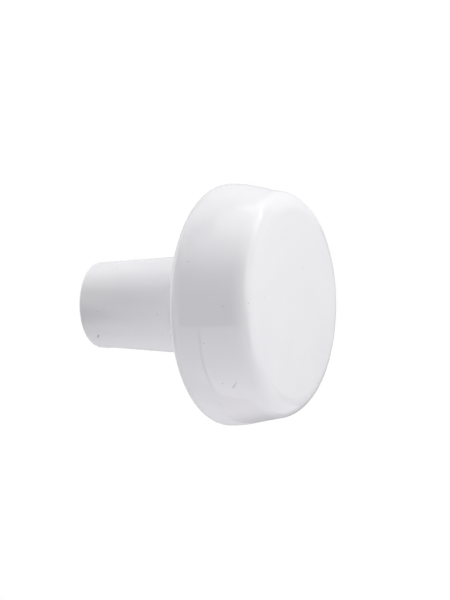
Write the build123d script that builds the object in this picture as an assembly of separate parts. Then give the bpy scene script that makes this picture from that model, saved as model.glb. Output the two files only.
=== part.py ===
from build123d import *
import os
from math import asin, cos, degrees, pi, radians, sin, sqrt

# Cabinet knob: a head and a tapered stem turned as one piece of porcelain and glazed white,
# with a brass insert bonded into the foot of the stem to take the screw through the door.
# The origin is the middle of the foot, on the door's face. The door's face is the XZ plane,
# the knob stands out from it along -Y, and +Z is up. Lengths are millimetres, angles degrees.

# Stem, from the door to the back of the head
stem_length = 19.8
foot_diameter = 12.4
neck_diameter = 14.9
foot_edge_radius = 0.6
neck_fillet_radius = 6.0

# Head, widest where its back edge ends, then leaning in towards the crowned face
head_diameter = 35.0
head_depth = 12.6
back_edge_radius = 2.4
shoulder_radius = 16.0
side_lean = 11.2
front_edge_radius = 3.2
face_crown_radius = 400.0

# Insert, flush with the foot, and the socket that it is bonded into
insert_diameter = 7.0
insert_length = 12.0
insert_end_chamfer = 0.4
bond_gap = 0.1
socket_mouth_chamfer = 0.3

# Straight knurl round the insert, broken by one groove that keys it into the bond
knurl_teeth = 24
knurl_depth = 0.25
key_groove_width = 1.6
key_groove_depth = 0.6

# Core of the M4 thread, before the thread itself is cut
thread_core_diameter = 3.3
thread_depth = 10.0

foot_radius = foot_diameter / 2
neck_radius = neck_diameter / 2
head_radius = head_diameter / 2
insert_radius = insert_diameter / 2
socket_radius = insert_radius + bond_gap
socket_depth = insert_length
projection = stem_length + head_depth

# Outlines are drawn as (radius, distance from the door) and turned about the Y axis
turning_plane = Plane(origin=(0, 0, 0), x_dir=(1, 0, 0), z_dir=(0, 0, -1))


def turned(outline):
    """The solid that a closed outline makes when it is turned about the knob's axis."""
    return revolve(turning_plane * make_face(outline), axis=Axis.Y)


def front_of_head(start):
    """Leaning side, rounded front edge and crowned face, from the end of the shoulder to the axis."""
    along = Vector(-sin(radians(side_lean)), cos(radians(side_lean)))
    outward = Vector(cos(radians(side_lean)), sin(radians(side_lean)))
    crown_centre = Vector(0, projection - face_crown_radius)
    # The front edge's centre moves along beside the side until its arc touches the crown from inside
    path_start = start - outward * front_edge_radius
    reach = face_crown_radius - front_edge_radius
    offset = path_start - crown_centre
    behind = offset.dot(along)
    side_length = sqrt(behind**2 - offset.dot(offset) + reach**2) - behind
    edge_centre = path_start + along * side_length
    crown_angle = degrees(asin(edge_centre.X / reach))
    side = Line(start, start + along * side_length)
    front_edge = JernArc(side @ 1, along, front_edge_radius, 90 - side_lean - crown_angle)
    crown = TangentArc(front_edge @ 1, (0, projection), tangent=front_edge % 1)
    return [side, front_edge, crown]


def knob_body():
    """Head and stem in one piece, with the blind socket for the insert in the foot."""
    socket = Polyline(
        (0, socket_depth),
        (socket_radius, socket_depth),
        (socket_radius, socket_mouth_chamfer),
        (socket_radius + socket_mouth_chamfer, 0),
    )
    stem = FilletPolyline(
        socket @ 1,
        (foot_radius, 0),
        (neck_radius, stem_length),
        (head_radius - back_edge_radius, stem_length),
        radius=[foot_edge_radius, neck_fillet_radius],
    )
    back_edge = JernArc(stem @ 1, (1, 0), back_edge_radius, 90)
    shoulder = JernArc(back_edge @ 1, back_edge % 1, shoulder_radius, side_lean)
    front = front_of_head(shoulder @ 1)
    axis = Line((0, projection), socket @ 0)
    return turned(Wire([*socket.edges(), *stem.edges(), back_edge, shoulder, *front, axis]))


def knurl_point(step):
    """Corner of the knurl's outline: a crest at each even step and a root at each odd one."""
    radius = insert_radius - (step % 2) * knurl_depth
    angle = pi * step / knurl_teeth
    return (radius * cos(angle), radius * sin(angle))


def threaded_insert():
    """Brass bush with a knurled outside and a blind core for the thread, open at the foot."""
    knurl = Polygon(*[knurl_point(step) for step in range(2 * knurl_teeth)], align=None)
    blank = extrude(Plane.XZ * knurl, insert_length)
    groove_start = (insert_length - key_groove_width) / 2
    groove_end = groove_start + key_groove_width
    groove_radius = insert_radius - key_groove_depth
    envelope = Polyline(
        (0, 0),
        (insert_radius - insert_end_chamfer, 0),
        (insert_radius, insert_end_chamfer),
        (insert_radius, groove_start),
        (groove_radius, groove_start),
        (groove_radius, groove_end),
        (insert_radius, groove_end),
        (insert_radius, insert_length - insert_end_chamfer),
        (insert_radius - insert_end_chamfer, insert_length),
        (0, insert_length),
        close=True,
    )
    core = extrude(Plane.XZ * Circle(thread_core_diameter / 2), thread_depth)
    return (blank & turned(envelope)) - core


os.makedirs("parts", exist_ok=True)
export_step(knob_body(), "parts/knob_body.step")
export_step(threaded_insert(), "parts/threaded_insert.step")
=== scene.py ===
from math import asin, atan, cos, degrees, floor, pi, radians, sin, sqrt, tan

import bmesh
import bpy
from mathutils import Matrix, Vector


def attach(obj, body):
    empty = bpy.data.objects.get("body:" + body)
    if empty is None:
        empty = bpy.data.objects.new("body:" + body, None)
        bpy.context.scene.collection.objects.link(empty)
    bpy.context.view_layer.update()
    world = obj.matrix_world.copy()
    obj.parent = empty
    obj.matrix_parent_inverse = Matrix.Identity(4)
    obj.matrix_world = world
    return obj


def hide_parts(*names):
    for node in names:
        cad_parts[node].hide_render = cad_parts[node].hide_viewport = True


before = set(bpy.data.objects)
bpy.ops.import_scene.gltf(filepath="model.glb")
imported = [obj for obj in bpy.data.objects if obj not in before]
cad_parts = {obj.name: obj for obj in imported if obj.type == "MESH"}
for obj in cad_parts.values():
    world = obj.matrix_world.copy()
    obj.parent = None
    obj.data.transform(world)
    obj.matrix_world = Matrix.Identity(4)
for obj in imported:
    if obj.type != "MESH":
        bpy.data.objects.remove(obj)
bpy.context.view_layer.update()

# Knob body: head and stem, turned as one piece of porcelain and glazed white all over but for the ring
# that it stands on and the blind socket in its foot, which stay bare and matt. The glaze carries a few
# dark specks, two short marks and three beads where it ran at the foot's lower edge.
stem_length = 0.0198
foot_radius = 0.0062
neck_radius = 0.00745
foot_edge_radius = 0.0006
neck_fillet_radius = 0.006
head_radius = 0.0175
head_depth = 0.0126
back_edge_radius = 0.0024
shoulder_radius = 0.016
side_lean = 11.2
front_edge_radius = 0.0032
face_crown_radius = 0.4
socket_radius = 0.0036
socket_depth = 0.012
socket_mouth_chamfer = 0.0003
projection = stem_length + head_depth
# The stem has finer rings up to here, to carry the beads
beaded_length = 0.0045
turning_steps = 288
body_crease = 25
# Distance from the door, turn from the top to the left, distance from the axis, half-width, and rise
glaze_beads = [
    (0.00070, 171.5, 0.00622, 0.00024, 0.00011),
    (0.00142, 169.5, 0.00628, 0.00036, 0.00017),
    (0.00210, 171.5, 0.00632, 0.00026, 0.00012),
]


def on_knob(distance, turn, radius):
    """A point at that distance from the door and from the axis, so many degrees from the top to the left."""
    return Vector((-radius * sin(radians(turn)), -distance, radius * cos(radians(turn))))


def line(start, end, steps):
    """Points along a straight run of an outline, without its start."""
    return [
        (start[0] + (end[0] - start[0]) * i / steps, start[1] + (end[1] - start[1]) * i / steps)
        for i in range(1, steps + 1)
    ]


def arc(centre, radius, start, end, steps):
    """Points along an arc of an outline, without its start; 0 degrees is straight out from the door."""
    turns = [radians(start + (end - start) * i / steps) for i in range(1, steps + 1)]
    return [(centre[0] + radius * cos(t), centre[1] + radius * sin(t)) for t in turns]


def body_outline():
    """The knob's outline as (distance from the door, distance from the axis), from socket floor to face."""
    slope = (neck_radius - foot_radius) / stem_length
    slant = sqrt(1 + slope * slope)
    taper = degrees(atan(slope))
    points = [(socket_depth, 0.0)]
    points += line(points[-1], (socket_depth, socket_radius), steps=4)
    points += line(points[-1], (socket_mouth_chamfer, socket_radius), steps=12)
    points += line(points[-1], (0.0, socket_radius + socket_mouth_chamfer), steps=2)
    edge = (foot_edge_radius, foot_radius + slope * foot_edge_radius - foot_edge_radius * slant)
    points += line(points[-1], (0.0, edge[1]), steps=8)
    points += arc(edge, foot_edge_radius, 180, 90 + taper, steps=12)
    neck_distance = stem_length - neck_fillet_radius
    neck = (neck_distance, foot_radius + slope * neck_distance + neck_fillet_radius * slant)
    stem_end = arc(neck, neck_fillet_radius, 0, taper - 90, steps=1)[0]
    points += line(points[-1], (beaded_length, foot_radius + slope * beaded_length), steps=26)
    points += line(points[-1], stem_end, steps=14)
    points += arc(neck, neck_fillet_radius, taper - 90, 0, steps=14)
    back_edge = (stem_length + back_edge_radius, head_radius - back_edge_radius)
    points += line(points[-1], (stem_length, back_edge[1]), steps=8)
    points += arc(back_edge, back_edge_radius, 180, 90, steps=24)
    shoulder = (back_edge[0], head_radius - shoulder_radius)
    points += arc(shoulder, shoulder_radius, 90, 90 - side_lean, steps=16)
    # The front edge's centre runs beside the leaning side until its arc touches the crown from inside
    lean = radians(side_lean)
    along = Vector((cos(lean), -sin(lean)))
    outward = Vector((sin(lean), cos(lean)))
    crown = Vector((projection - face_crown_radius, 0.0))
    path_start = Vector(points[-1]) - outward * front_edge_radius
    offset = path_start - crown
    behind = offset.dot(along)
    reach = face_crown_radius - front_edge_radius
    side_length = sqrt(behind * behind - offset.dot(offset) + reach * reach) - behind
    front = path_start + along * side_length
    crown_turn = degrees(asin(front[1] / reach))
    points += line(points[-1], tuple(Vector(points[-1]) + along * side_length), steps=14)
    points += arc(front, front_edge_radius, 90 - side_lean, crown_turn, steps=40)
    points += arc(crown, face_crown_radius, crown_turn, 0, steps=30)
    return points


def turned(name, outline):
    """A mesh turned about the knob's axis, from an outline that starts and ends on the axis."""
    rings = outline[1:-1]
    angles = [360 * i / turning_steps for i in range(turning_steps)]
    vertices = [on_knob(distance, angle, radius) for distance, radius in rings for angle in angles]
    start = len(vertices)
    end = start + 1
    vertices += [on_knob(outline[0][0], 0, 0), on_knob(outline[-1][0], 0, 0)]
    last = (len(rings) - 1) * turning_steps
    faces = []
    for i in range(turning_steps):
        j = (i + 1) % turning_steps
        faces.append((start, j, i))
        for ring in range(0, last, turning_steps):
            following = ring + turning_steps
            faces.append((ring + i, ring + j, following + j, following + i))
        faces.append((last + i, last + j, end))
    mesh = bpy.data.meshes.new(name)
    mesh.from_pydata(vertices, [], faces)
    mesh.shade_smooth()
    mesh.set_sharp_from_angle(angle=radians(body_crease))
    return mesh


def beaded(mesh):
    """Raises the beads of glaze: half as high at their half-width, and level with the foot at twice that."""
    for distance, turn, radius, width, rise in glaze_beads:
        centre = on_knob(distance, turn, radius)
        for vertex in mesh.vertices:
            away = (vertex.co - centre).length
            if away < width * 2:
                outward = Vector((vertex.co.x, 0, vertex.co.z)).normalized()
                vertex.co += outward * rise * cos(away / width * pi / 4) ** 2
    return mesh


def placed(name, mesh, finish):
    """Puts a mesh into the scene as a piece that rides on the knob."""
    piece = bpy.data.objects.new(name, mesh)
    bpy.context.scene.collection.objects.link(piece)
    mesh.materials.append(finish)
    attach(piece, "root")
    return piece


class Wire:
    """A value that runs over a surface, from one node's socket, so that its maths reads as plain sums."""

    def __init__(self, finish, socket):
        self.finish = finish
        self.socket = socket

    def maths(self, operation, *terms):
        return self.finish.node("ShaderNodeMath", {"operation": operation}, dict(enumerate(terms)))

    def __add__(self, other):
        return self.maths("ADD", self, other)

    def __radd__(self, other):
        return self.maths("ADD", other, self)

    def __sub__(self, other):
        return self.maths("SUBTRACT", self, other)

    def __rsub__(self, other):
        return self.maths("SUBTRACT", other, self)

    def __mul__(self, other):
        return self.maths("MULTIPLY", self, other)

    def __rmul__(self, other):
        return self.maths("MULTIPLY", other, self)

    def __or__(self, other):
        return self.maths("MAXIMUM", self, other)

    def __ror__(self, other):
        return self.maths("MAXIMUM", other, self)


class Finish:
    """Lays the nodes of one material or of the world."""

    def __init__(self, owner):
        owner.use_nodes = True
        self.tree = owner.node_tree
        self.tree.nodes.clear()

    def node(self, kind, settings, values, output=0):
        """Adds one node: its type, its settings, then what its sockets take; returns one output."""
        made = self.tree.nodes.new(kind)
        for setting, choice in settings.items():
            setattr(made, setting, choice)
        for socket, value in values.items():
            if isinstance(value, Wire):
                self.tree.links.new(value.socket, made.inputs[socket])
            else:
                made.inputs[socket].default_value = value
        return Wire(self, made.outputs[output])

    def place(self):
        """Where a spot is on the piece, in metres in the knob's own frame."""
        return self.node("ShaderNodeTexCoord", {}, {}, "Object")

    def from_axis(self, place):
        """How far a spot is from the knob's axis."""
        across = self.node("ShaderNodeVectorMath", {"operation": "MULTIPLY"}, {0: place, 1: (1, 0, 1)})
        return self.node("ShaderNodeVectorMath", {"operation": "LENGTH"}, {0: across}, "Value")

    def mixed(self, share, first, second):
        """One colour giving way to another as the share goes from 0 to 1, on the node's colour sockets."""
        return self.node(
            "ShaderNodeMix", {"data_type": "RGBA"}, {"Factor": share, 6: first, 7: second}, 2
        )

    def fade(self, value, start, end):
        """0 before start and 1 after end, smooth in between; end may be the lower of the two."""
        return self.node(
            "ShaderNodeMapRange",
            {"interpolation_type": "SMOOTHSTEP"},
            {"Value": value, "From Min": start, "From Max": end, "To Min": 0.0, "To Max": 1.0},
        )

    def noise(self, place, size, detail):
        """Soft noise whose lumps are about that many metres across."""
        return self.node(
            "ShaderNodeTexNoise", {}, {"Vector": place, "Scale": 1 / size, "Detail": detail}
        )

    def bump(self, rise):
        """The surface's direction once it rises by that many metres."""
        return self.node("ShaderNodeBump", {}, {"Strength": 1.0, "Distance": 1.0, "Height": rise})

    def finished(self, kind, shader):
        """Joins the last shader to the tree's output."""
        self.tree.links.new(shader.socket, self.tree.nodes.new(kind).inputs["Surface"])


glaze_white = (0.86, 0.858, 0.882, 1)
glaze_shade = (0.845, 0.842, 0.869, 1)
cloud_size = 0.009
glaze_ior = 1.5
glaze_roughness = 0.016
glaze_dulling = 0.008
glaze_swell_size = 0.007
glaze_swell = 0.000006
glaze_ripple_size = 0.0012
glaze_ripple = 0.0000003
# Distance from the door where the glaze starts and where the foot is bare, and how far that line wanders
glaze_start = 0.00016
foot_bare = 0.00010
glaze_line_wander = 0.00025
wander_size = 0.0011
# Radius and distance from the door up to which the socket is bare, and from which glaze may lie
socket_bare_radius = 0.0040
socket_glaze_radius = 0.0041
socket_bare_distance = 0.0140
socket_glaze_distance = 0.0150
bare_porcelain = (0.80, 0.78, 0.74, 1)
bare_shade = (0.72, 0.69, 0.64, 1)
bare_roughness = 0.78
grain_size = 0.00025
grain_rise = 0.00004
# Pinholes in the glaze: their spacing, then rim and bottom in parts of it, and which of them show
pinhole_spacing = 0.0021
pinhole_rim = 0.045
pinhole_bottom = 0.02
pinhole_pick_from = 0.80
pinhole_pick_to = 0.86
pinhole_darkness = 0.2
pinhole_depth = 0.000008
speck_brown = (0.20, 0.18, 0.19, 1)
speck_rim = 1.5
speck_core = 0.3
# Distance from the door, turn from the top to the left, distance from the axis, size, and depth of colour
specks = [
    (0.00250, 133.9, 0.00636, 0.00011, 0.45),
    (0.00240, 135.8, 0.00635, 0.00013, 0.75),
    (0.00228, 137.7, 0.00634, 0.00013, 0.75),
    (0.00213, 139.4, 0.00633, 0.00011, 0.45),
    (0.02872, 131.4, 0.01652, 0.00010, 0.35),
    (0.02853, 132.0, 0.01656, 0.00010, 0.40),
    (0.02839, 132.7, 0.01659, 0.00010, 0.45),
    (0.02827, 133.3, 0.01661, 0.00011, 0.50),
    (0.02813, 133.9, 0.01664, 0.00012, 0.55),
    (0.02794, 134.2, 0.01667, 0.00012, 0.40),
    (0.02672, 130.9, 0.01692, 0.00013, 0.30),
    (0.02318, 69.7, 0.01747, 0.00013, 0.22),
    (0.00513, 33.9, 0.00652, 0.00010, 0.40),
    (0.03236, -21.6, 0.00575, 0.00008, 0.50),
    (0.03226, 84.5, 0.01072, 0.00008, 0.45),
    (0.03175, 89.3, 0.0148, 0.00010, 0.35),
    (0.02498, 145.0, 0.01726, 0.00012, 0.28),
    (0.02548, 108.4, 0.01716, 0.00011, 0.28),
    (0.02857, 90.8, 0.01655, 0.00009, 0.40),
    (0.01338, 101.7, 0.00704, 0.00010, 0.32),
    (0.01351, 127.7, 0.00705, 0.00010, 0.30),
    (0.00327, 99.0, 0.00641, 0.00010, 0.32),
]


def glazed_porcelain():
    """White porcelain under a clear, wet-looking glaze, bare and matt at the foot and in the socket."""
    material = bpy.data.materials.new("glazed_porcelain")
    finish = Finish(material)
    place = finish.place()
    radius = finish.from_axis(place)
    out = finish.node("ShaderNodeSeparateXYZ", {}, {"Vector": place}, "Y") * -1
    uneven = finish.noise(place, wander_size, detail=3.0)
    foot = finish.fade(out + (uneven - 0.5) * glaze_line_wander, glaze_start, foot_bare)
    in_socket = finish.fade(radius, socket_glaze_radius, socket_bare_radius)
    near_door = finish.fade(out, socket_glaze_distance, socket_bare_distance)
    bare = foot | in_socket * near_door
    mark = 0.0
    for distance, turn, reach, size, depth in specks:
        centre = on_knob(distance, turn, reach)
        gap = finish.node("ShaderNodeVectorMath", {"operation": "DISTANCE"}, {0: place, 1: centre}, "Value")
        mark = mark | finish.fade(gap, size * speck_rim, size * speck_core) * depth
    spacing = {"Vector": place, "Scale": 1 / pinhole_spacing, "Randomness": 1.0}
    cells = finish.node("ShaderNodeTexVoronoi", {}, spacing, "Distance")
    chosen = finish.node("ShaderNodeTexVoronoi", {}, spacing, "Color")
    pick = finish.node("ShaderNodeSeparateColor", {}, {"Color": chosen}, 0)
    shown = finish.fade(pick, pinhole_pick_from, pinhole_pick_to)
    pinhole = finish.fade(cells, pinhole_rim, pinhole_bottom) * shown * pinhole_darkness
    cloud = finish.noise(place, cloud_size, detail=2.0)
    white = finish.mixed(finish.fade(cloud, start=0.35, end=0.65), glaze_white, glaze_shade)
    marked = finish.mixed(mark | pinhole, white, speck_brown)
    grain = finish.noise(place, grain_size, detail=4.0)
    clay = finish.mixed(finish.fade(grain, start=0.3, end=0.7), bare_porcelain, bare_shade)
    colour = finish.mixed(bare, marked, clay)
    dulled = finish.fade(uneven, start=0.4, end=0.8) * glaze_dulling
    roughness = glaze_roughness + bare * bare_roughness + dulled
    swell = finish.noise(place, glaze_swell_size, detail=1.0) * glaze_swell
    ripple = finish.noise(place, glaze_ripple_size, detail=1.0) * glaze_ripple
    rise = swell + ripple + grain * bare * grain_rise - pinhole * pinhole_depth
    shader = finish.node(
        "ShaderNodeBsdfPrincipled",
        {},
        {"Base Color": colour, "Roughness": roughness, "IOR": glaze_ior, "Normal": finish.bump(rise)},
    )
    finish.finished("ShaderNodeOutputMaterial", shader)
    return material


knob_mesh = beaded(turned("glazed_knob", body_outline()))
knob_body = placed("glazed_knob", knob_mesh, glazed_porcelain())
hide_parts("knob_body")

# Threaded insert: a brass bush, turned from bar with a straight knurl and one groove round it, and
# tapped M4 from the open end. It sits in the socket, flush with the foot, and takes the knob's screw.
insert_radius = 0.0035
insert_length = 0.012
insert_end_chamfer = 0.0004
knurl_teeth = 24
knurl_depth = 0.00025
groove_width = 0.0016
groove_depth = 0.0006
thread_core_radius = 0.00165
thread_major_radius = 0.002
thread_pitch = 0.0007
thread_length = 0.01
thread_mouth_radius = 0.00212
thread_half_angle = 30
thread_root_flat = thread_pitch / 8
thread_flank = (thread_major_radius - thread_core_radius) * tan(radians(thread_half_angle))
bush_steps = 96
rows_to_a_pitch = 10
bush_crease = 28
same_spot = 1e-8


def knurl_radius(step):
    """How far the bush's outside is from the axis at that step of its round, from crest to root and back."""
    share = step * knurl_teeth / bush_steps % 1
    return insert_radius - knurl_depth * (1 - abs(2 * share - 1))


def thread_radius(phase):
    """Distance from the axis to the thread's wall; the phase runs from 0 to 1 along one pitch."""
    from_root = abs(phase - floor(phase) - 0.5) * thread_pitch - thread_root_flat / 2
    share = min(1.0, max(0.0, from_root / thread_flank))
    return thread_major_radius + (thread_core_radius - thread_major_radius) * share


def bore_point(row, step):
    """One point of the thread's wall, on rows that follow the helix and stop at both ends of the hole."""
    share = step / bush_steps
    along = (row / rows_to_a_pitch + share - 1) * thread_pitch
    if along <= 0:
        return on_knob(0, 360 * share, thread_mouth_radius)
    if along >= thread_length:
        return on_knob(thread_length, 360 * share, thread_core_radius)
    run_out = min(1.0, (thread_length - along) / thread_pitch)
    wall = thread_core_radius + (thread_radius(row / rows_to_a_pitch) - thread_core_radius) * run_out
    return on_knob(along, 360 * share, max(wall, thread_mouth_radius - along))


def insert_mesh():
    """The bush as one closed surface: the threaded hole, the open end, the knurl and the blind end."""
    groove_start = (insert_length - groove_width) / 2
    groove_end = groove_start + groove_width
    groove_radius = insert_radius - groove_depth
    end_radius = insert_radius - insert_end_chamfer
    root_rise = insert_end_chamfer - knurl_depth
    outside = [
        (0.0, thread_mouth_radius),
        (0.0, end_radius),
        (root_rise, insert_radius - knurl_depth),
        (insert_end_chamfer, insert_radius),
        (groove_start, insert_radius),
        (groove_start, groove_radius),
        (groove_end, groove_radius),
        (groove_end, insert_radius),
        (insert_length - insert_end_chamfer, insert_radius),
        (insert_length - root_rise, insert_radius - knurl_depth),
        (insert_length, end_radius),
        (insert_length, 0.0),
    ]
    columns = range(bush_steps + 1)
    bore_rows = (int(thread_length / thread_pitch) + 2) * rows_to_a_pitch + 1
    bore = [[bore_point(row, step) for step in columns] for row in range(bore_rows)]
    bore.append([on_knob(thread_length, 0, 0) for step in columns])
    jacket = [
        [on_knob(distance, 360 * step / bush_steps, min(radius, knurl_radius(step))) for step in columns]
        for distance, radius in outside
    ]
    shape = bmesh.new()
    for grid in (bore, jacket):
        corners = [[shape.verts.new(point) for point in ring] for ring in grid]
        for ring, following in zip(corners, corners[1:]):
            for i in range(bush_steps):
                shape.faces.new((ring[i], ring[i + 1], following[i + 1], following[i]))
    bmesh.ops.remove_doubles(shape, verts=shape.verts, dist=same_spot)
    bmesh.ops.recalc_face_normals(shape, faces=shape.faces)
    mesh = bpy.data.meshes.new("tapped_bush")
    shape.to_mesh(mesh)
    shape.free()
    mesh.shade_smooth()
    mesh.set_sharp_from_angle(angle=radians(bush_crease))
    return mesh


bright_brass = (0.78, 0.61, 0.33, 1)
# The darker brass serves both the real stains and the painted shade in the thread
stained_and_shaded_brass = (0.55, 0.40, 0.19, 1)
brass_roughness = 0.26
brass_dulling = 0.22
stain_size = 0.0012
stain_share = 0.6
stain_rise = 0.000006
# Painted shade in the thread: how much it darkens the brass, and the radii over which it comes in
thread_shade_share = 0.7
thread_shade_from = 0.0021
thread_shade_to = 0.0018
tool_feed = 0.00006
tool_mark_rise = 0.000002


def turned_brass():
    """Bare machined brass: fine rings from the tool on the ends, and painted shade that makes it a little
    darker in the thread.
    """
    material = bpy.data.materials.new("turned_brass")
    finish = Finish(material)
    place = finish.place()
    radius = finish.from_axis(place)
    tool_marks = finish.node(
        "ShaderNodeMath", {"operation": "SINE"}, {0: radius * (2 * pi / tool_feed)}
    )
    stain = finish.noise(place, stain_size, detail=4.0)
    # Painted shade darkens the whole thread, on top of the real stains
    inside = finish.fade(radius, thread_shade_from, thread_shade_to)
    stain_and_shade = finish.fade(stain, start=0.35, end=0.7) * stain_share | inside * thread_shade_share
    shader = finish.node(
        "ShaderNodeBsdfPrincipled",
        {},
        {
            "Base Color": finish.mixed(stain_and_shade, bright_brass, stained_and_shaded_brass),
            "Metallic": 1.0,
            "Roughness": brass_roughness + stain * brass_dulling,
            "Normal": finish.bump(tool_marks * tool_mark_rise + stain * stain_rise),
        },
    )
    finish.finished("ShaderNodeOutputMaterial", shader)
    return material


threaded_insert = placed("tapped_bush", insert_mesh(), turned_brass())
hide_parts("threaded_insert")

# Bond: the grey cement that fills the gap between the bush and the socket, run in wet so that it
# settles a little below the foot and creeps lower towards the bush.
bond_sink = 0.00028
bond_middle_drop = 0.00005
bond_inner_drop = 0.00012
bond_depth = 0.0011
bond_inner_radius = 0.0032
bond_steps = 144
bond_crease = 40
# Height of the slow and the quick waves in the cement's top, and how many of each go round the ring
slow_wave = 0.00004
slow_waves = 5
quick_wave = 0.00003
quick_waves = 13
quick_wave_shift = 1


def bond_wander(turn):
    """How far the cement's top strays from its mean at that turn of the ring."""
    slow = slow_wave * sin(radians(turn) * slow_waves)
    quick = quick_wave * sin(radians(turn) * quick_waves + quick_wave_shift)
    return slow + quick


def bond_mesh():
    """The visible end of the cement as a closed ring, with a slightly wandering top."""
    shape = bmesh.new()
    rings = []
    for i in range(bond_steps):
        turn = 360 * i / bond_steps
        top = bond_sink + bond_wander(turn)
        outline = [
            (top, socket_radius),
            (top + bond_middle_drop, (socket_radius + bond_inner_radius) / 2),
            (top + bond_inner_drop, bond_inner_radius),
            (bond_depth, bond_inner_radius),
            (bond_depth, socket_radius),
        ]
        rings.append([shape.verts.new(on_knob(distance, turn, radius)) for distance, radius in outline])
    for ring, following in zip(rings, rings[1:] + rings[:1]):
        for k in range(len(ring)):
            m = (k + 1) % len(ring)
            shape.faces.new((ring[k], following[k], following[m], ring[m]))
    bmesh.ops.recalc_face_normals(shape, faces=shape.faces)
    mesh = bpy.data.meshes.new("cement_ring")
    shape.to_mesh(mesh)
    shape.free()
    mesh.shade_smooth()
    mesh.set_sharp_from_angle(angle=radians(bond_crease))
    return mesh


cement_grey = (0.56, 0.54, 0.50, 1)
cement_dark = (0.36, 0.34, 0.31, 1)
cement_roughness = 0.85
grit_size = 0.00012
grit_rise = 0.00004
grit_roughness = 0.1


def cement():
    """Dry grey cement, gritty and without shine."""
    material = bpy.data.materials.new("cement")
    finish = Finish(material)
    grit = finish.noise(finish.place(), grit_size, detail=5.0)
    shader = finish.node(
        "ShaderNodeBsdfPrincipled",
        {},
        {
            "Base Color": finish.mixed(finish.fade(grit, start=0.35, end=0.7), cement_grey, cement_dark),
            "Roughness": cement_roughness + grit * grit_roughness,
            "Normal": finish.bump(grit * grit_rise),
        },
    )
    finish.finished("ShaderNodeOutputMaterial", shader)
    return material


placed("cement_ring", bond_mesh(), cement())

# Studio: a pale floor well below the knob and a tent of screens round it, as for shooting glazed ware.
# The glaze mirrors the tent, so each screen has its own place and level: lamps and a window overhead,
# brighter screens at the right, darker ones in front and behind, and a table with paper underneath.
knob_middle = Vector((0, -0.020, 0))
camera_azimuth = radians(-63.78)
to_camera = Vector((sin(camera_azimuth), -cos(camera_azimuth), 0))
to_right = Vector((cos(camera_azimuth), sin(camera_azimuth), 0))
straight_up = Vector((0, 0, 1))
plain_white = (1, 1, 1, 1)


def from_knob(bearing, height, reach):
    """A point seen from the knob at that bearing, from the camera round by its right, and that height."""
    turn = radians(bearing)
    rise = radians(height)
    way = (to_camera * cos(turn) + to_right * sin(turn)) * cos(rise) + straight_up * sin(rise)
    return knob_middle + way * reach


def seen_rays(finish):
    """1 for what the camera sees, also in a mirror or through glass, and 0 for light that falls on things."""
    camera = finish.node("ShaderNodeLightPath", {}, {}, "Is Camera Ray")
    mirrored = finish.node("ShaderNodeLightPath", {}, {}, "Is Glossy Ray")
    through = finish.node("ShaderNodeLightPath", {}, {}, "Is Transmission Ray")
    return camera | mirrored | through


def screen(name, rows, level, beyond=None, bearing=0, height=90, near=0, far=180, tint=(1, 1, 1)):
    """A sheet through rows of spots that glows at a level, where 1 is white.

    With a level beyond, it goes over to that one between near and far degrees from the given direction.
    """
    mesh = bpy.data.meshes.new(name)
    width = len(rows[0])
    faces = [
        (k * width + i, k * width + i + 1, (k + 1) * width + i + 1, (k + 1) * width + i)
        for k in range(len(rows) - 1)
        for i in range(width - 1)
    ]
    mesh.from_pydata([spot - knob_middle for row in rows for spot in row], [], faces)
    sheet = bpy.data.objects.new(name, mesh)
    sheet.location = knob_middle
    bpy.context.scene.collection.objects.link(sheet)
    material = bpy.data.materials.new(name)
    finish = Finish(material)
    glow = (level * tint[0], level * tint[1], level * tint[2], 1)
    if beyond is not None:
        seen = finish.node("ShaderNodeVectorMath", {"operation": "NORMALIZE"}, {0: finish.place()})
        aim = from_knob(bearing, height, 1) - knob_middle
        nearness = finish.node(
            "ShaderNodeVectorMath", {"operation": "DOT_PRODUCT"}, {0: seen, 1: aim}, "Value"
        )
        share = finish.fade(nearness, cos(radians(near)), cos(radians(far)))
        glow = finish.mixed(share, glow, (beyond * tint[0], beyond * tint[1], beyond * tint[2], 1))
    lit = finish.node("ShaderNodeEmission", {}, {"Color": glow, "Strength": 1.0})
    finish.finished("ShaderNodeOutputMaterial", lit)
    mesh.materials.append(material)
    sheet.visible_camera = False


def bent(left, right, low, high, reach=0.7, columns=12, rows=10):
    """Spots for a screen bent round the knob, between two bearings and two heights."""
    return [
        [
            from_knob(left + (right - left) * i / columns, low + (high - low) * k / rows, reach)
            for i in range(columns + 1)
        ]
        for k in range(rows + 1)
    ]


def level_rows(height, *rows):
    """Spots for a level sheet, each given by its place to the right and to the front per unit of height."""
    return [
        [
            knob_middle + (to_right * right + to_camera * front) * abs(height) + straight_up * height
            for right, front in row
        ]
        for row in rows
    ]


floor_drop = 0.75
floor_half = 6.0
floor_grey = (0.8, 0.8, 0.8, 1)
seen_floor_glow = 0.8
seen_floor_grey = (0.4, 0.4, 0.4, 1)
floor_mesh = bpy.data.meshes.new("floor")
floor_corners = ((-1, -1), (1, -1), (1, 1), (-1, 1))
floor_spots = [(x * floor_half, y * floor_half, -floor_drop) for x, y in floor_corners]
floor_mesh.from_pydata(floor_spots, [], [(0, 1, 2, 3)])
studio_floor = bpy.data.objects.new("floor", floor_mesh)
bpy.context.scene.collection.objects.link(studio_floor)
floor_material = bpy.data.materials.new("floor")
paint = Finish(floor_material)
plain = paint.node("ShaderNodeBsdfDiffuse", {}, {"Color": floor_grey})
glowing = paint.node("ShaderNodeEmission", {}, {"Color": plain_white, "Strength": seen_floor_glow})
faint = paint.node("ShaderNodeBsdfDiffuse", {}, {"Color": seen_floor_grey})
seen_floor = paint.node("ShaderNodeAddShader", {}, {0: glowing, 1: faint})
floor_shader = paint.node("ShaderNodeMixShader", {}, {0: seen_rays(paint), 1: plain, 2: seen_floor})
paint.finished("ShaderNodeOutputMaterial", floor_shader)
floor_mesh.materials.append(floor_material)

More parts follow.
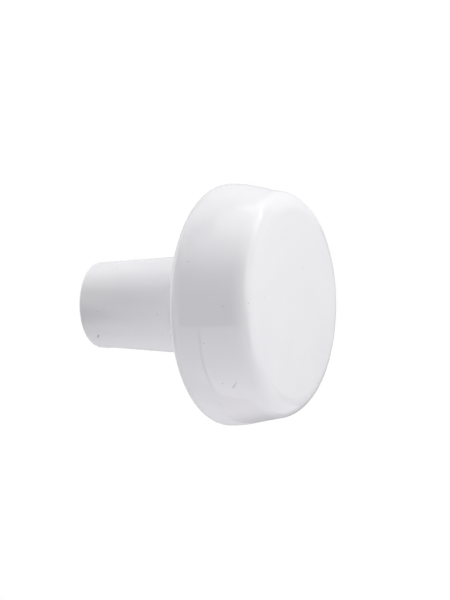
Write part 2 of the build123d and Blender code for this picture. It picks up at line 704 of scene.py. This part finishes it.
# Screens bent round the knob, in front, at the left and at the right
violet = (1.013, 1.0, 1.024)
screen(
    "dark_front", bent(left=-56, right=38, low=-20, high=64),
    level=1.57, beyond=0.02, bearing=0, height=90, near=27, far=68, tint=violet,
)
screen(
    "grey_left", bent(left=-112, right=-56, low=0, high=46),
    level=1.62, beyond=0.45, bearing=0, height=90, near=40, far=64, tint=violet,
)
screen(
    "low_left", bent(left=-112, right=-56, low=-52, high=0),
    level=1.04, beyond=0.85, bearing=-84, height=-40, near=10, far=40, tint=violet,
)
screen(
    "top_left", bent(left=-172, right=-86, low=46, high=72),
    level=0.89, beyond=1.37, bearing=-168, height=54, near=8, far=26,
)
screen(
    "right_turn", bent(left=38, right=68, low=-30, high=62, reach=0.72),
    level=2.31, beyond=0.10, bearing=70, height=26, near=12, far=40,
)
screen(
    "right_light", bent(left=68, right=118, low=-30, high=50, reach=0.72),
    level=1.68, beyond=0.70, bearing=70, height=3, near=12, far=46,
)
screen(
    "behind_right", bent(left=118, right=172, low=-20, high=46, reach=0.74),
    level=0.83, beyond=0.35, bearing=112, height=22, near=22, far=34,
)

# Screens behind the knob and below it
screen("far_right", bent(left=138, right=172, low=8, high=46, reach=0.73), level=0.70)
screen(
    "low_behind", bent(left=120, right=177, low=-50, high=-20, reach=0.73),
    level=0.25, beyond=1.04, bearing=172, height=-29, near=12, far=34,
)
screen("back_high", bent(left=172, right=212, low=0, high=60, reach=0.75), level=0.66)
screen("back_low", bent(left=177, right=212, low=-50, high=-12, reach=0.75), level=0.56)
screen("back_dark", bent(left=150, right=177, low=-22, high=-5, reach=0.735), level=0.20)
screen("backdrop", bent(left=168, right=194, low=-9, high=10, reach=0.72), level=1.0)
screen(
    "floor_shade", bent(left=182, right=304, low=-86, high=-50, reach=0.74),
    level=0.62, beyond=0.74, bearing=212, height=-60, near=15, far=50,
)
screen(
    "back_left", bent(left=212, right=248, low=-50, high=46, reach=0.75),
    level=0.50, beyond=1.26, bearing=-140, height=-40, near=20, far=50,
)

# Level sheets overhead, from the highest to the lowest: lamps, a window and the shade between them
top_back_height = 0.62
lamp_height = 0.60
window_height = 0.59
lamp_shade_height = 0.58
window_near_height = 0.575
top_back_rows = level_rows(top_back_height, [(-0.1, -0.28), (1.0, -0.0)], [(0.0, -0.9), (1.3, -0.9)])
screen("top_back", top_back_rows, level=0.84)
top_light_rows = level_rows(
    lamp_height,
    [
        (-0.08, -0.24), (-0.126, -0.165), (-0.19, 0.02), (-0.256, 0.194),
        (-0.318, 0.338), (-0.33, 0.40), (-0.22, 0.64), (0.1, 1.0),
    ],
    [(0.45, -0.05), (0.55, -0.02), (0.7, 0.05), (0.85, 0.1), (1.0, 0.2), (1.1, 0.4), (1.2, 0.64), (1.3, 1.0)],
)
screen("top_light", top_light_rows, level=2.08)
top_right_rows = level_rows(
    lamp_height,
    [(0.45, -0.05), (1.0, 0.2), (1.3, 1.0)],
    [(1.0, -0.1), (1.8, 0.1), (2.2, 1.0)],
)
screen("top_right", top_right_rows, level=1.87)
window_rows = level_rows(
    window_height,
    [(-0.104, -0.232), (0.084, -0.095), (0.268, -0.03), (0.42, 0.0), (0.56, 0.06), (0.70, 0.12)],
    [(-0.085, -0.30), (0.05, -0.40), (0.25, -0.45), (0.45, -0.40), (0.62, -0.35), (0.78, -0.28)],
    [(0.0, -0.62), (0.15, -0.75), (0.35, -0.85), (0.55, -0.9), (0.75, -0.9), (0.98, -0.85)],
    [(0.27, -1.4), (0.4, -1.5), (0.6, -1.6), (0.8, -1.7), (0.95, -1.7), (1.08, -1.6)],
)
screen("window", window_rows, level=1.49, beyond=0.44, bearing=160, height=79, near=13, far=25)
lamp_shade_rows = level_rows(
    lamp_shade_height,
    [(-0.126, -0.165), (-0.09, -0.225), (0.05, -0.14), (0.27, -0.09), (0.42, -0.07)],
    [(-0.18, 0.0), (-0.14, 0.02), (0.0, 0.05), (0.2, 0.05), (0.45, 0.05)],
)
screen("lamp_shade", lamp_shade_rows, level=1.84)
window_near_rows = level_rows(
    window_near_height,
    [
        (-0.095, -0.262), (-0.098, -0.232), (-0.085, -0.205), (0.084, -0.091), (0.344, -0.01),
        (0.60, -0.082), (0.651, -0.202), (0.732, -0.359), (0.80, -0.53), (0.90, -0.95),
    ],
    [
        (-0.093, -0.266), (-0.078, -0.322), (-0.047, -0.43), (-0.031, -0.49), (0.01, -0.552),
        (0.092, -0.613), (0.15, -0.64), (0.20, -0.67), (0.285, -0.79), (0.365, -0.96),
    ],
)
screen("window_near", window_near_rows, level=2.15, beyond=1.1, bearing=125, height=80, near=15, far=25)

# Small lamps, which give the sharp lights on the front edge, and the long strip at the right
screen("star_lamp", bent(left=91, right=105, low=58, high=66, reach=0.60), level=4.8)
screen("star_tail", bent(left=80, right=96, low=50, high=58, reach=0.61), level=3.64)
screen(
    "tall_strip", bent(left=60, right=82, low=18, high=64, reach=0.62),
    level=3.13, beyond=1.31, bearing=75, height=90, near=30, far=60,
)

# The table under the knob: a sheet of paper, the table at its left, a dark gap along its edge and the
# shade across it. A small dark card stands close to the knob at its left, beside the foot.
paper_gap_height = -0.218
paper_height = -0.220
table_left_height = -0.222
paper_shade_height = -0.224
paper_edge = [(-1.25, 2.1), (-0.228, 0.145), (-0.107, -0.149), (0.02, -0.46), (0.42, -0.64), (0.75, -1.5)]
paper_far = [(1.3, 2.1), (1.6, 1.4), (1.9, 0.8), (2.2, 0.2), (2.4, -0.4), (2.4, -1.5)]
left_far = [(-3.2, 2.1), (-1.6, 0.3)]
shade_far = [(-0.27, 0.05), (-0.17, -0.3), (-0.09, -0.6), (0.0, -1.0), (0.1, -1.8)]
gap_far = [(-1.34, 2.1), (-0.262, 0.145)]
screen("paper_gap", level_rows(paper_gap_height, paper_edge[:2], gap_far), level=0.09)
screen(
    "paper", level_rows(paper_height, paper_edge, paper_far),
    level=1.50, beyond=0.83, bearing=-35, height=-60, near=8, far=50, tint=violet,
)
screen(
    "table_left", level_rows(table_left_height, paper_edge[:2], left_far),
    level=1.31, beyond=0.55, bearing=-40, height=-60, near=10, far=52, tint=violet,
)
screen(
    "paper_shade", level_rows(paper_shade_height, paper_edge[1:], shade_far),
    level=0.49, beyond=0.16, bearing=0, height=-90, near=28, far=52, tint=violet,
)
screen(
    "dark_card", bent(left=-99, right=-74, low=-36, high=14, reach=0.044),
    level=0.05, beyond=1.02, bearing=-89, height=-12, near=8, far=20,
)

# The air beyond the screens lights a little less than it shows, so that the background is white
air_light = 0.8
air_shown = 1.0
world = bpy.data.worlds.new("studio_air")
bpy.context.scene.world = world
air = Finish(world)
soft_air = air.node("ShaderNodeBackground", {}, {"Color": plain_white, "Strength": air_light})
white_air = air.node("ShaderNodeBackground", {}, {"Color": plain_white, "Strength": air_shown})
both = air.node("ShaderNodeMixShader", {}, {0: seen_rays(air), 1: soft_air, 2: white_air})
air.finished("ShaderNodeOutputWorld", both)

# Camera: level with the knob's axis, half a metre away, in front of it and to its left.
camera_reach = 0.5
camera_right = 0.00073
camera_up = 0.00067
lens_length = 207.1
sensor_width = 36
camera_data = bpy.data.cameras.new("camera")
camera_data.lens = lens_length
camera_data.sensor_width = sensor_width
camera = bpy.data.objects.new("camera", camera_data)
bpy.context.scene.collection.objects.link(camera)
camera.location = knob_middle + to_right * camera_right + straight_up * camera_up + to_camera * camera_reach
camera.rotation_mode = "QUATERNION"
camera.rotation_quaternion = (-to_camera).to_track_quat("-Z", "Y")
bpy.context.scene.camera = camera
bpy.context.scene.view_settings.view_transform = "Standard"
